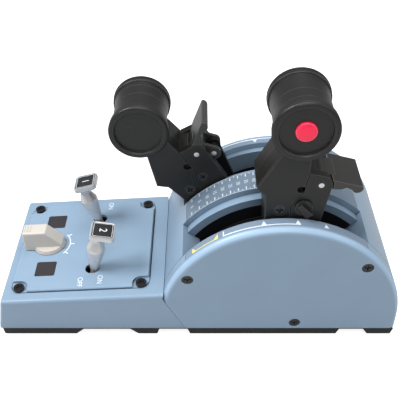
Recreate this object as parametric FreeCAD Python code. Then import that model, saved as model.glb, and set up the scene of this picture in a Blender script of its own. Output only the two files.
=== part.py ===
import FreeCAD, Part

import os
from math import asin, atan, cos, degrees, radians, sin, sqrt

# Desktop throttle quadrant: a half-drum lever housing with two thrust levers, and a low
# switch panel on the pilot's side.  X is across the unit, +Y points away from the pilot,
# Z is up.  Everything is drawn about the lever axis, which is over Y = 0, and moved at the
# end so that the origin is the middle of the footprint, on the desk.

V = FreeCAD.Vector

# ---------------------------------------------------------------- driving dimensions (mm)
# housing
PIVOT_Z = 15.0              # height of the lever axis above the desk
BODY_R = 74.0               # drum radius about the lever axis
HALF_WIDTH = 48.6           # half the overall width
WALL = 2.4                  # moulded wall thickness
CHEEK_X = 38.2              # inner face of the side cheeks
CHEEK_RIM = 4.5             # thickness of the cheeks' rim
EDGE_R = 4.0                # rounding of the cheeks' outer edge
SEAM_FOOT_Y = -BODY_R + 15.8   # foot of the slanting seam between drum and panel housing
SEAM_TOP_Z = 33.0           # where the seam reaches the drum
SEAM = 0.25                 # open line between neighbouring mouldings
GROOVE = 0.35               # shadow groove where a cheek meets the drum

# lever slots, angles from the vertical, forward positive
SLOT_AFT = -53.5
SLOT_FWD = 42.5
RIB_X = 8.9                 # half width of the centre rib's top
LEDGE_X = RIB_X + 5.8       # half width of the centre rib at its ledge
SIDE_LEDGE_X = CHEEK_X - 4.2  # inner edge of the ledge under each cheek
SIDE_WALL_R = BODY_R - 15.4  # foot of the wall under that ledge
LEDGE_R = BODY_R - 3.5
RIB_FLOOR_R = BODY_R - 8.5
END_WALL_R = BODY_R - 13.0  # foot of the slots' end walls
STRIP_T = 0.4               # printed scale strips, let into the drum
STRIP_AFT = -51.0
STRIP_FWD = 40.6
STRIP_GAP = 0.2             # open line at the strips' ends, in degrees
STRIP_X = CHEEK_X + 6.2      # outer edge of the side strips

# black trough under each slot
TROUGH_R = BODY_R - 17.6
TROUGH_T = 1.8
TROUGH_LAP = 5.0            # degrees past each slot end
TROUGH_GAP = 0.2
TROUGH_RIB = 1.1
TROUGH_RIBS = (15.6, 17.6, 30.0, 31.6)
SLIT_X0 = 19.2
SLIT_X1 = 29.2
SLIT_LAP = 2.8

# base
FOOT_DROP = 5.4             # desk to the underside of the base plate
BASE_FLANGE = 1.3
BASE_INSET = 0.4
PLATEAU = 1.5
FOOT_WIDTH = 14.0
PAD_PROUD = 0.8
PAD_INSET = 1.5

# panel housing
PANEL_LIP_Y = -BODY_R - 97.2  # top of the drafted pilot-side wall
PANEL_FRONT_Y = PANEL_LIP_Y - 4.3  # foot of that wall
PANEL_LIP_Z = 30.0
PANEL_BACK_Z = 36.2         # panel surface where it meets the drum
PANEL_EDGE_R = 2.0
PANEL_MID_Y = -BODY_R - 49.2  # centre of the switch plate

# foot blocks: pilot-side end, forward end, and the taper of each end
FOOT_SPANS = [
    (PANEL_FRONT_Y + 1.9, PANEL_FRONT_Y + 53.2, 0.7, 5.1),
    (SEAM_FOOT_Y - 35.3, SEAM_FOOT_Y - 16.4, 5.5, 1.5),
    (SEAM_FOOT_Y + 1.3, SEAM_FOOT_Y + 97.4, 1.7, 1.9),
    (BODY_R - 20.0, BODY_R - 0.8, 3.2, 1.3),
]

# switch plate, in the sloping panel's own axes: x across, s up the slope, h off the surface
PLATE_HALF_X = HALF_WIDTH - 7.6
PLATE_HALF_S = 43.0
PLATE_CORNER_R = 6.5
PLATE_PROUD = 1.8
PLATE_SINK = 1.8
PLATE_SKIN = 1.8
PLATE_GAP = 0.5
PLATE_SEAT = 2.4
OPENING_HALF_X = PLATE_HALF_X - 7.0
OPENING_HALF_S = PLATE_HALF_S - 9.0
PLATE_SCREW_X = PLATE_HALF_X - 3.0
PLATE_SCREW_S = PLATE_HALF_S - 4.9
POCKET_R = 5.4
POCKET_DEPTH = 1.6
PCB_T = 1.6
PCB_DROP = 12.4
PCB_POST_X = OPENING_HALF_X - 5.0
PCB_POST_S = (-9.5, 29.0)

# panel controls
WINDOW_X = OPENING_HALF_X - 11.3
WINDOW_S = -OPENING_HALF_S + 10.2
WINDOW_SIZE = 12.8
WINDOW_CORNER_R = 1.2
TOGGLE_X = OPENING_HALF_X - 10.0
TOGGLE_S = 6.2
TOGGLE_DEPTH = 6.0          # pivot below the plate's surface
TOGGLE_THROW = 12.4
TOGGLE_HOLE_R = 4.5
TOGGLE_LENGTH = 33.0
TOGGLE_BASE_R = 2.7
TOGGLE_BELLY_R = 5.8
TOGGLE_CAP = 13.6
TOGGLE_CAP_T = 3.3
TOGGLE_CAP_SHIFT = 3.2
KNOB_S = -OPENING_HALF_S + 9.2
KNOB_SKIRT_R = 10.3
KNOB_TAIL = 15.5
KNOB_NOSE = 9.4
KNOB_HALF_W = 4.9
KNOB_HEIGHT = 14.5
KNOB_SKIRT_H = 2.2
KNOB_SHAFT_R = 3.0
RUN_GAP = 0.35

# levers, in the lever's own axes: u forward and v up from the lever axis at mid travel
SHAFT_R = 4.0
SHAFT_HALF = 34.6
FIT = 0.05                  # radial clearance of turning fits
BUSH_R = 5.3
HUB_R = 7.8
HUB_X0 = 14.5
HUB_X1 = 30.0
CORE_X0 = 20.0
CORE_X1 = 24.0
ARM_X0 = RIB_X + 1.7
ARM_X1 = CHEEK_X - 1.6
ARM_SPLIT_X = 22.0
TONGUE_X0 = LEDGE_X + 1.5
TONGUE_X1 = SIDE_LEDGE_X - 4.0
ARM_FOOT_GAP = 1.9          # wide part of the arm above the slot's ledges
ARM_FOOT_R = LEDGE_R + ARM_FOOT_GAP
TONGUE_FOOT_R = BODY_R - 14.0
LEFT_LEVER_ANGLE = 41.9     # the left lever rests this far towards the pilot
GRIP_U = 5.5
GRIP_V = BODY_R + 59.8
GRIP_X = 22.8
GRIP_LENGTH = 38.1
GRIP_R = 18.0
WAIST_R = 15.8
GRIP_BORE_R = 13.0
CAP_T = 5.6
WAIST_END_R = 16.8
CAP_RECESS_R = 14.2
CAP_RECESS = 2.0
CAP_FACE_T = 1.6
BUTTON_R = 5.85
BUTTON_PROUD = 1.4
PLUG_R = 4.0
PLUG_OFFSET = 9.6

# reverser levers and their linkage
HINGE_U = 17.8
BLADE_GAP = 0.2
PLATE_SEAM = 0.5
HINGE_V = BODY_R + 22.3
BOSS_R = 6.2
ROOT_R = 6.9
PIN_R = 1.9
PLATE_T = 5.0               # clevis plates each side of the reverser
BARREL_R = 5.3
EAR_T = 2.4
REVERSER_LIFT = 43.0        # the left reverser rests raised by this much
BLADE_OVERHANG = 0.2
LINK_PIN = (-1.8, -11.0)    # from the hinge, reverser down
LINK_PIN_R = 1.9
EAR_R = 4.4
SPACER_R = 2.9
LINK_X0 = 24.5
LINK_X1 = 28.0
LINK_HALF_W = 3.5
LINK_FOOT_R = 1.5
LINK_FOOT_U = 8.0
LINK_LENGTH = 45.9

# screws
SCREW_R = 1.4
SCREW_HOLE_R = 1.6
THREAD_R = 1.45
HEAD_R = 3.3
HEAD_T = 1.8
CHEEK_SCREW_R = BODY_R - 7.8
CHEEK_SCREW_ANGLES = (-58.5, 47.8)
CHEEK_SCREW_FOOT = (10.2, 11.8)
BASE_POST_R = 3.5
MAIN_POSTS = [(CHEEK_X - 5.2, SEAM_FOOT_Y + 12.2), (CHEEK_X - 5.2, BODY_R - 10.0)]
PANEL_POSTS = [(HALF_WIDTH - 7.6, PANEL_LIP_Y + 4.2), (HALF_WIDTH - 7.6, -BODY_R - 6.5)]
POST_TOP_Z = 20.0
ARM_SCREW = (-3.8, 4.4)      # places on the lever are (forward, above the drum)
COVER_SCREW = (9.4, 7.0)
PIP = (7.0, 19.2)            # blind hole beside the clevis
LOCK_KNOB_R = 5.0
SMALL_HEAD_R = 2.9
LOCK_STEM_R = 2.4
FLANGE_T = 3.0

# ---------------------------------------------------------------- derived
SHELL_Z = FOOT_DROP + BASE_FLANGE
PANEL_SLOPE = (PANEL_BACK_Z - PANEL_LIP_Z) / (-sqrt(BODY_R ** 2 - (PANEL_BACK_Z - PIVOT_Z) ** 2) - PANEL_LIP_Y)
PANEL_TILT = degrees(atan(PANEL_SLOPE))
END_WALL = degrees(WALL / BODY_R)
ARM_MID_X = (ARM_X0 + ARM_X1) / 2

nodes = {}


# ---------------------------------------------------------------- helpers
def box(x0, x1, y0, y1, z0, z1):
    return Part.makeBox(x1 - x0, y1 - y0, z1 - z0, V(x0, y0, z0))


def x_rod(y, z, radius, x0, x1):
    return Part.makeCylinder(radius, x1 - x0, V(x0, y, z), V(1, 0, 0))


def z_rod(x, y, radius, z0, z1):
    return Part.makeCylinder(radius, z1 - z0, V(x, y, z0), V(0, 0, 1))


def outline(start, *steps):
    """Closed wire in the YZ plane; a step is a point, or (through, end) for an arc."""
    edges = []
    here = V(0, *start)
    for step in steps + (start,):
        if isinstance(step[0], tuple):
            end = V(0, *step[1])
            edges.append(Part.Arc(here, V(0, *step[0]), end).toShape())
        else:
            end = V(0, *step)
            if here.isEqual(end, 1e-6):
                continue
            edges.append(Part.LineSegment(here, end).toShape())
        here = end
    return Part.Wire(edges)


def prism(wire, x0, x1):
    face = Part.Face(wire)
    face.translate(V(x0, 0, 0))
    return face.extrude(V(x1 - x0, 0, 0))


def polar(radius, angle, z0=None):
    """Point (y, z) at an angle from the vertical about the lever axis."""
    base = PIVOT_Z if z0 is None else z0
    return (radius * sin(radians(angle)), base + radius * cos(radians(angle)))


CHEEK_SCREWS = [polar(CHEEK_SCREW_R, a) for a in CHEEK_SCREW_ANGLES] + [CHEEK_SCREW_FOOT]


def sector(r0, r1, a0, a1, x0, x1, z0=None):
    mid = (a0 + a1) / 2
    wire = outline(polar(r0, a0, z0), polar(r1, a0, z0), (polar(r1, mid, z0), polar(r1, a1, z0)),
                   polar(r0, a1, z0), (polar(r0, mid, z0), polar(r0, a0, z0)))
    return prism(wire, x0, x1)


def fuse(first, *rest):
    solid = first.fuse(list(rest)).removeSplitter()
    return solid


def cut(first, *rest):
    return first.cut(list(rest))


def both_sides(shape):
    return [shape, shape.mirror(V(0, 0, 0), V(1, 0, 0))]


def round_edges(shape, radius, wanted):
    """Fillet every edge whose middle passes the test."""
    picked = [e for e in shape.Edges if wanted(e, e.CenterOfMass)]
    return shape.makeFillet(radius, picked)


def screw(length, head_r=HEAD_R, recess=0.5):
    """Pan-head cross-recess screw along -Z, the underside of its head at the origin."""
    head = z_rod(0, 0, head_r, 0, HEAD_T)
    shank = z_rod(0, 0, SCREW_R, -length, 0.2)
    arm = head_r * 0.62
    slot = recess
    cross = fuse(box(-arm, arm, -slot, slot, HEAD_T - 0.9, HEAD_T + 1), box(-slot, slot, -arm, arm, HEAD_T - 0.9, HEAD_T + 1))
    return cut(fuse(head, shank), cross)


def place(shape, axis, angle, x, y, z):
    moved = shape.copy()
    moved.rotate(V(0, 0, 0), axis, angle)
    moved.translate(V(x, y, z))
    return moved


def group(shapes):
    return Part.makeCompound(list(shapes))


# ---------------------------------------------------------------- drum housing
def body_outline(inset, bottom, gap=0.0):
    """Side view of the drum: slanting seam wall, round top, upright forward wall."""
    radius = BODY_R - inset + gap
    rise = SEAM_TOP_Z - PIVOT_Z
    top_y = -sqrt(radius ** 2 - rise ** 2)
    outer_top_y = -sqrt(BODY_R ** 2 - rise ** 2)
    lean = (outer_top_y - SEAM_FOOT_Y) / (SEAM_TOP_Z - SHELL_Z)
    foot_y = top_y + lean * (bottom - SEAM_TOP_Z) + 0.12 * inset
    return outline((foot_y, bottom), (top_y, SEAM_TOP_Z), (polar(radius, 0), (radius, PIVOT_Z)), (radius, bottom))


def main_housing():
    inner_x = CHEEK_X - WALL
    shell = cut(prism(body_outline(0, SHELL_Z), -CHEEK_X, CHEEK_X), prism(body_outline(WALL, SHELL_Z - 5), -inner_x, inner_x))
    aft = SLOT_AFT - END_WALL
    fwd = SLOT_FWD + END_WALL
    inner_r = BODY_R - WALL / 2
    adds = [sector(RIB_FLOOR_R, inner_r, aft, fwd, -LEDGE_X, LEDGE_X)]
    for x0, x1 in ((SIDE_LEDGE_X, CHEEK_X - WALL / 2), (-CHEEK_X + WALL / 2, -SIDE_LEDGE_X)):
        adds.append(sector(SIDE_WALL_R, inner_r, aft, fwd, x0, x1))
    for a0, a1 in ((aft, SLOT_AFT), (SLOT_FWD, fwd)):
        adds.append(sector(END_WALL_R, inner_r, a0, a1, -CHEEK_X + WALL / 2, CHEEK_X - WALL / 2))
    for y, z in CHEEK_SCREWS:
        adds += both_sides(x_rod(y, z, BASE_POST_R, inner_x - 4.0, inner_x + WALL / 2))
    for x, y in MAIN_POSTS:
        adds += both_sides(z_rod(x, y, BASE_POST_R, SHELL_Z + PLATEAU + BASE_INSET, POST_TOP_Z))
    shell = fuse(shell, *adds)
    cuts = [sector(RIB_FLOOR_R - 3, RIB_FLOOR_R + 2.6, SLOT_AFT, SLOT_FWD, -LEDGE_X + WALL, LEDGE_X - WALL)]
    upper = sector(LEDGE_R, BODY_R + 2, SLOT_AFT, SLOT_FWD, RIB_X, CHEEK_X + 1)
    lower = sector(END_WALL_R - 4, LEDGE_R + 1, SLOT_AFT, SLOT_FWD, LEDGE_X, SIDE_LEDGE_X)
    cuts += both_sides(upper) + both_sides(lower)
    cuts.append(sector(BODY_R - STRIP_T, BODY_R + 2, STRIP_AFT - STRIP_GAP, STRIP_FWD + STRIP_GAP, -RIB_X - 1, RIB_X + 1))
    for y, z in CHEEK_SCREWS:
        cuts += both_sides(x_rod(y, z, THREAD_R, inner_x - 5.0, CHEEK_X + 1))
    for x, y in MAIN_POSTS:
        cuts += both_sides(z_rod(x, y, THREAD_R, SHELL_Z - 1, POST_TOP_Z - 2))
    cuts.append(box(-USB_HALF_X - 0.3, USB_HALF_X + 0.3, BODY_R - WALL - 1, BODY_R + 1, USB_Z - 0.3, USB_Z + USB_H + 0.3))
    cuts.append(box(-12, 12, -BODY_R - 1, SEAM_FOOT_Y + 8.2, 14, 24))
    return cut(shell, *cuts)


def cheek():
    """Right-hand side cover: rounded outer edge, hollow inside, three screw tubes."""
    plate = prism(body_outline(0, SHELL_Z), CHEEK_X, HALF_WIDTH)
    plate = round_edges(plate, EDGE_R, lambda e, c: abs(c.x - HALF_WIDTH) < 0.01 and (c.z > SEAM_TOP_Z + 1 or c.y > BODY_R - 0.1))
    hollow = prism(body_outline(CHEEK_RIM, SHELL_Z - 5), CHEEK_X - 1, HALF_WIDTH - WALL)
    shell = cut(plate, hollow)
    tubes = [x_rod(y, z, BASE_POST_R + 0.5, CHEEK_X, HALF_WIDTH - WALL / 2) for y, z in CHEEK_SCREWS]
    tubes = [t.common(plate) for t in tubes]
    shell = fuse(shell, *tubes)
    cuts = [x_rod(y, z, HEAD_R + 0.3, HALF_WIDTH - HEAD_T - 0.4, HALF_WIDTH + 1) for y, z in CHEEK_SCREWS]
    cuts.append(cut(prism(body_outline(-1, SHELL_Z - 5), CHEEK_X - 1, CHEEK_X + GROOVE), prism(body_outline(GROOVE, SHELL_Z - 6), CHEEK_X - 2, CHEEK_X + 1)))
    cuts += [x_rod(y, z, SCREW_HOLE_R, CHEEK_X - 1, HALF_WIDTH) for y, z in CHEEK_SCREWS]
    cuts.append(sector(BODY_R - STRIP_T, BODY_R + 2, STRIP_AFT - STRIP_GAP, STRIP_FWD + STRIP_GAP, CHEEK_X - 1, STRIP_X))
    return cut(shell, *cuts)


def cheek_screws():
    made = []
    for y, z in CHEEK_SCREWS:
        one = place(screw(HALF_WIDTH - CHEEK_X + 2.5), V(0, 1, 0), 90, HALF_WIDTH - HEAD_T - 0.4, y, z)
        made += both_sides(one)
    return group(made)


def scale_strips():
    mid = sector(BODY_R - STRIP_T, BODY_R, STRIP_AFT, STRIP_FWD, -RIB_X, RIB_X)
    side = sector(BODY_R - STRIP_T, BODY_R, STRIP_AFT, STRIP_FWD, CHEEK_X, STRIP_X)
    return mid, group(both_sides(side))


def slot_trough():
    """Right-hand black trough: ribbed floor with a slit for the lever, flanges up to the slot walls."""
    a0 = SLOT_AFT - TROUGH_LAP
    a1 = SLOT_FWD + TROUGH_LAP
    x0 = LEDGE_X - WALL + 0.2
    x1 = CHEEK_X - WALL - 0.2
    floor_r = TROUGH_R - TROUGH_T
    floor = sector(floor_r, TROUGH_R, a0, a1, x0, x1)
    tops = ((x0, RIB_FLOOR_R - TROUGH_GAP), (x1 - TROUGH_T, SIDE_WALL_R - TROUGH_GAP))
    walls = [sector(floor_r, top, SLOT_AFT, SLOT_FWD, x, x + TROUGH_T) for x, top in tops]
    ribs = [sector(floor_r, TROUGH_R + TROUGH_RIB, SLOT_AFT, SLOT_FWD, x, x + 0.9) for x in TROUGH_RIBS]
    slit = sector(floor_r - 2, TROUGH_R + 3, SLOT_AFT - SLIT_LAP, SLOT_FWD + SLIT_LAP, SLIT_X0, SLIT_X1)
    return cut(fuse(floor, *walls, *ribs), slit)


# ---------------------------------------------------------------- base
def foot_block(y0, y1, in0, in1):
    wire = outline((y0, FOOT_DROP), (y0 + in0, PAD_PROUD), (y1 - in1, PAD_PROUD), (y1, FOOT_DROP))
    return prism(wire, HALF_WIDTH - BASE_INSET - FOOT_WIDTH, HALF_WIDTH - BASE_INSET - 0.2)


def foot_pad(y0, y1, in0, in1, grow=0.0):
    x1 = HALF_WIDTH - BASE_INSET - 0.2 - PAD_INSET + grow
    x0 = HALF_WIDTH - BASE_INSET - FOOT_WIDTH + PAD_INSET - grow
    return box(x0, x1, y0 + in0 + PAD_INSET - grow, y1 - in1 - PAD_INSET + grow, 0, 2 * PAD_PROUD)


def base_plate():
    half_x = HALF_WIDTH - BASE_INSET
    y0 = PANEL_FRONT_Y + BASE_INSET
    y1 = BODY_R - BASE_INSET
    plate = box(-half_x, half_x, y0, y1, FOOT_DROP, SHELL_Z)
    plate = round_edges(plate, 3.0, lambda e, c: abs(abs(c.x) - half_x) < 0.01 and min(abs(c.y - y0), abs(c.y - y1)) < 0.01)
    top = SHELL_Z + PLATEAU
    inner_x = CHEEK_X - WALL - BASE_INSET
    adds = [box(-inner_x, inner_x, SEAM_FOOT_Y + 8, -20.0, SHELL_Z, top)]
    adds.append(box(-inner_x, inner_x, 20.0, BODY_R - WALL - BASE_INSET, SHELL_Z, top))
    adds.append(box(-HALF_WIDTH + WALL + 1, HALF_WIDTH - WALL - 1, PANEL_FRONT_Y + 6, SEAM_FOOT_Y - 12, SHELL_Z, top))
    for span in FOOT_SPANS:
        adds += both_sides(foot_block(*span))
    for x, y in BOARD_POSTS:
        adds += both_sides(z_rod(x, y, 2.5, SHELL_Z, BOARD_Z))
    plate = fuse(plate, *adds)
    cuts = []
    for span in FOOT_SPANS:
        cuts += both_sides(foot_pad(*span, grow=0.1))
    for x, y in MAIN_POSTS + PANEL_POSTS:
        cuts += both_sides(z_rod(x, y, SCREW_HOLE_R, FOOT_DROP - 1, top + 1))
        cuts += both_sides(z_rod(x, y, HEAD_R + 0.3, 0, FOOT_DROP))
    return cut(plate, *cuts)


def foot_pads():
    pads = []
    for span in FOOT_SPANS:
        pads += both_sides(foot_pad(*span))
    return group(pads)


def base_screws():
    made = []
    for x, y in MAIN_POSTS + PANEL_POSTS:
        one = place(screw(10.0), V(1, 0, 0), 180, x, y, FOOT_DROP)
        made += both_sides(one)
    return group(made)


# ---------------------------------------------------------------- panel housing
def rim_z(y):
    return PANEL_LIP_Z + PANEL_SLOPE * (y - PANEL_LIP_Y)


def on_panel(shape):
    """From the switch plate's own axes (x, s, h) to the unit's axes."""
    return place(shape, V(1, 0, 0), PANEL_TILT, 0, PANEL_MID_Y, rim_z(PANEL_MID_Y))


def panel_block(inset, bottom):
    front_top = PANEL_LIP_Y + inset
    front_foot = PANEL_FRONT_Y + inset
    drop = inset
    wire = outline((front_foot, bottom), (front_foot, SHELL_Z), (front_top, PANEL_LIP_Z - drop),
                   (-30.0, rim_z(-30.0) - drop), (-30.0, bottom))
    return prism(wire, -HALF_WIDTH + inset, HALF_WIDTH - inset)


def panel_housing():
    block = panel_block(0, SHELL_Z)
    block = round_edges(block, PANEL_EDGE_R, lambda e, c: c.z > SHELL_Z + 1 and c.y < -31 and
                        (abs(abs(c.x) - HALF_WIDTH) < 0.01 or c.z > PANEL_LIP_Z - 0.01))
    drum = prism(body_outline(0, SHELL_Z - 5, SEAM), -HALF_WIDTH - 1, HALF_WIDTH + 1)
    block = cut(block, drum)
    ring = on_panel(box(-PLATE_HALF_X - 3, PLATE_HALF_X + 3, -PLATE_HALF_S - 3, PLATE_HALF_S + 3,
                        -PLATE_SINK - PLATE_SEAT, -1.0))
    adds = [ring]
    for sx in (-1, 1):
        for ss in (-1, 1):
            adds.append(on_panel(z_rod(sx * PLATE_SCREW_X, ss * PLATE_SCREW_S, BASE_POST_R, -10.0, -2.5)))
    for x, y in PANEL_POSTS:
        adds += both_sides(z_rod(x, y, BASE_POST_R, SHELL_Z + PLATEAU + BASE_INSET, POST_TOP_Z))
        adds += both_sides(box(x, HALF_WIDTH - WALL / 2, y - 1, y + 1, SHELL_Z + PLATEAU + BASE_INSET, POST_TOP_Z))
    adds = [a.common(block) for a in adds]
    shell = fuse(cut(block, panel_block(WALL, SHELL_Z - 5)), *adds)
    recess = rounded_block(PLATE_HALF_X + PLATE_GAP, PLATE_HALF_S + PLATE_GAP, PLATE_CORNER_R + PLATE_GAP, -PLATE_SINK, 5)
    opening = box(-OPENING_HALF_X, OPENING_HALF_X, -OPENING_HALF_S, OPENING_HALF_S, -20, 0)
    cuts = [on_panel(recess), on_panel(opening)]
    for sx in (-1, 1):
        for ss in (-1, 1):
            cuts.append(on_panel(z_rod(sx * PLATE_SCREW_X, ss * PLATE_SCREW_S, THREAD_R, -9.0, 1)))
    for x, y in PANEL_POSTS:
        cuts += both_sides(z_rod(x, y, THREAD_R, SHELL_Z - 1, POST_TOP_Z - 2))
    return cut(shell, *cuts)


def rounded_block(half_x, half_s, corner, h0, h1):
    block = box(-half_x, half_x, -half_s, half_s, h0, h1)
    return round_edges(block, corner, lambda e, c: abs(abs(c.x) - half_x) < 0.01 and abs(abs(c.y) - half_s) < 0.01)


def panel_plate():
    plate = rounded_block(PLATE_HALF_X, PLATE_HALF_S, PLATE_CORNER_R, -PLATE_SINK, PLATE_PROUD)
    plate = plate.makeChamfer(0.7, [e for e in plate.Edges if e.CenterOfMass.z > PLATE_PROUD - 0.01])
    under = box(-OPENING_HALF_X + 1, OPENING_HALF_X - 1, -OPENING_HALF_S + 1, OPENING_HALF_S - 1, -PLATE_SINK - 1, PLATE_PROUD - PLATE_SKIN)
    cuts = [under]
    floor = PLATE_PROUD - POCKET_DEPTH
    for sx in (-1, 1):
        for ss in (-1, 1):
            x = sx * PLATE_SCREW_X
            s = ss * PLATE_SCREW_S
            cuts.append(z_rod(x, s, POCKET_R, floor, 5))
            cuts.append(box(min(x, sx * 60), max(x, sx * 60), min(s - ss * POCKET_R, ss * 60), max(s - ss * POCKET_R, ss * 60), floor, 5))
            cuts.append(box(min(x - sx * POCKET_R, sx * 60), max(x - sx * POCKET_R, sx * 60), min(s, ss * 60), max(s, ss * 60), floor, 5))
            cuts.append(z_rod(x, s, SCREW_HOLE_R, -5, 5))
    half_w = WINDOW_SIZE / 2
    for sx in (-1, 1):
        cuts.append(window_block(sx * WINDOW_X, half_w, -5, 5))
        cuts.append(z_rod(sx * TOGGLE_X, TOGGLE_S, TOGGLE_HOLE_R, -5, 5))
    cuts.append(z_rod(0, KNOB_S, KNOB_SHAFT_R + RUN_GAP, -5, 5))
    posts = [z_rod(x, s, 2.2, -PCB_DROP, PLATE_PROUD - PLATE_SKIN + 0.5) for x in (-PCB_POST_X, PCB_POST_X) for s in PCB_POST_S]
    return on_panel(fuse(cut(plate, *cuts), *posts))


def window_block(x, half_w, h0, h1):
    block = rounded_block(half_w, half_w, WINDOW_CORNER_R, h0, h1)
    block.translate(V(x, WINDOW_S, 0))
    return block


def panel_screws():
    made = []
    for sx in (-1, 1):
        for ss in (-1, 1):
            made.append(place(screw(8.0), V(0, 0, 1), 20, sx * PLATE_SCREW_X, ss * PLATE_SCREW_S, PLATE_PROUD - POCKET_DEPTH))
    return on_panel(group(made))


def indicator_windows():
    made = []
    half_w = WINDOW_SIZE / 2 - 0.1
    skin = PLATE_PROUD - PLATE_SKIN
    for sx in (-1, 1):
        x = sx * WINDOW_X
        lens = window_block(x, half_w, skin - 0.5, PLATE_PROUD - 0.15)
        flange = box(x - half_w - 1.2, x + half_w + 1.2, WINDOW_S - half_w - 1.2, WINDOW_S + half_w + 1.2, skin - 1.0, skin)
        made.append(fuse(lens, flange))
    return on_panel(group(made))


def panel_board():
    board = box(-OPENING_HALF_X + 2, OPENING_HALF_X - 2, -OPENING_HALF_S + 2, OPENING_HALF_S - 2, -PCB_DROP - PCB_T, -PCB_DROP)
    chip = box(-6, 6, 14, 24, -PCB_DROP - PCB_T - 1.4, -PCB_DROP - PCB_T)
    return on_panel(fuse(board, chip))


PIVOT_H = PLATE_PROUD - TOGGLE_DEPTH


def toggle_bodies():
    made = []
    for sx in (-1, 1):
        x = sx * TOGGLE_X
        body = box(x - 6.5, x + 6.5, TOGGLE_S - 9, TOGGLE_S + 9, -PCB_DROP, -1.2)
        room = box(x - 4.5, x + 4.5, TOGGLE_S - 6, TOGGLE_S + 6, -PCB_DROP + 1.4, -2.4)
        mouth = box(x - 3.7, x + 3.7, TOGGLE_S - 5.2, TOGGLE_S + 5.2, -4, 0)
        pin = x_rod(TOGGLE_S, PIVOT_H, 0.9 + FIT, x - 6, x + 6)
        made.append(cut(body, room, mouth, pin))
    return on_panel(group(made))


def toggle_lever():
    """Along +Z from its pivot: pin, ball, flared metal bat, flat square cap shifted forward."""
    top = TOGGLE_LENGTH + TOGGLE_DEPTH
    d = TOGGLE_DEPTH
    profile = [(0, -3.0), (1.4, -3.0), (1.4, -1.0), (3.0, 0.0), (2.2, 2.2), (2.2, d - 1.0), (TOGGLE_BASE_R, d + 0.5),
               (TOGGLE_BASE_R + 0.5, d + 4.0), (TOGGLE_BELLY_R - 0.5, d + 13.5), (TOGGLE_BELLY_R, d + 17.5),
               (TOGGLE_BELLY_R - 0.2, d + 19.0), (3.4, d + 24.5), (3.2, top - TOGGLE_CAP_T - 1.2),
               (4.4, top - TOGGLE_CAP_T + 0.2), (0, top - TOGGLE_CAP_T + 0.2)]
    points = [V(r, 0, z) for r, z in profile]
    wire = Part.makePolygon(points + [points[0]])
    bat = Part.Face(wire).revolve(V(0, 0, 0), V(0, 0, 1), 360)
    half = TOGGLE_CAP / 2
    cap = box(-half, half, TOGGLE_CAP_SHIFT - half, TOGGLE_CAP_SHIFT + half, top - TOGGLE_CAP_T, top)
    cap = round_edges(cap, 2.2, lambda e, c: abs(c.z - top + TOGGLE_CAP_T / 2) < 0.01)
    cap = cap.makeChamfer(0.6, [e for e in cap.Edges if e.CenterOfMass.z > top - 0.01])
    pin = x_rod(0, 0, 0.9, -5.8, 5.8)
    return fuse(bat, cap, pin)


def toggle(side, angle):
    lever = toggle_lever()
    lever.rotate(V(0, 0, 0), V(1, 0, 0), angle)
    lever.translate(V(side * TOGGLE_X, TOGGLE_S, PIVOT_H))
    return on_panel(lever)


def selector_body():
    body = box(-8, 8, KNOB_S - 8, KNOB_S + 8, -PCB_DROP, PLATE_PROUD - PLATE_SKIN - 0.1)
    return on_panel(cut(body, z_rod(0, KNOB_S, KNOB_SHAFT_R + FIT, -10, 5)))


def mode_knob():
    """Pointer knob: round skirt, tall bar over the tail, sloping down to the nose."""
    h0 = PLATE_PROUD + RUN_GAP
    skirt = Part.makeCone(KNOB_SKIRT_R, KNOB_SKIRT_R - 0.8, KNOB_SKIRT_H, V(0, KNOB_S, h0), V(0, 0, 1))
    wire = outline((KNOB_S - KNOB_TAIL, h0), (KNOB_S - KNOB_TAIL + 0.5, PLATE_PROUD + KNOB_HEIGHT),
                   (KNOB_S, PLATE_PROUD + KNOB_HEIGHT), (KNOB_S + KNOB_NOSE, h0 + KNOB_SKIRT_H + 1.6), (KNOB_S + KNOB_NOSE, h0))
    bar = prism(wire, -KNOB_HALF_W, KNOB_HALF_W)
    bar = round_edges(bar, 1.1, lambda e, c: (abs(abs(c.x) - KNOB_HALF_W) < 0.01 and c.z > h0 + 1) or c.z > PLATE_PROUD + KNOB_HEIGHT - 0.01)
    shaft = z_rod(0, KNOB_S, KNOB_SHAFT_R, -9.0, h0 + 1)
    return on_panel(fuse(skirt, bar, shaft))


# ---------------------------------------------------------------- inside the drum
BOARD_Z = 11.0
BOARD_POSTS = [(24.0, 26.0), (24.0, 58.0)]
USB_HALF_X = 4.6
USB_H = 3.2
USB_Z = BOARD_Z + PCB_T


def main_board():
    board = box(-28, 28, 22, BODY_R - WALL - 1.0, BOARD_Z, BOARD_Z + PCB_T)
    chip = box(-7, 7, 34, 48, BOARD_Z + PCB_T, BOARD_Z + PCB_T + 1.6)
    return fuse(board, chip)


def usb_socket():
    shell = box(-USB_HALF_X, USB_HALF_X, BODY_R - 8.4, BODY_R - 0.4, USB_Z, USB_Z + USB_H)
    port = box(-USB_HALF_X + 0.4, USB_HALF_X - 0.4, BODY_R - 7.0, BODY_R + 1, USB_Z + 0.4, USB_Z + USB_H - 0.4)
    tongue = box(-USB_HALF_X + 1.4, USB_HALF_X - 1.4, BODY_R - 7.4, BODY_R - 1.4, USB_Z + 1.3, USB_Z + USB_H - 1.3)
    return fuse(cut(shell, port), tongue)


CHASSIS_PLATES = [(9.0, 12.5), (31.2, 34.9)]


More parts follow.
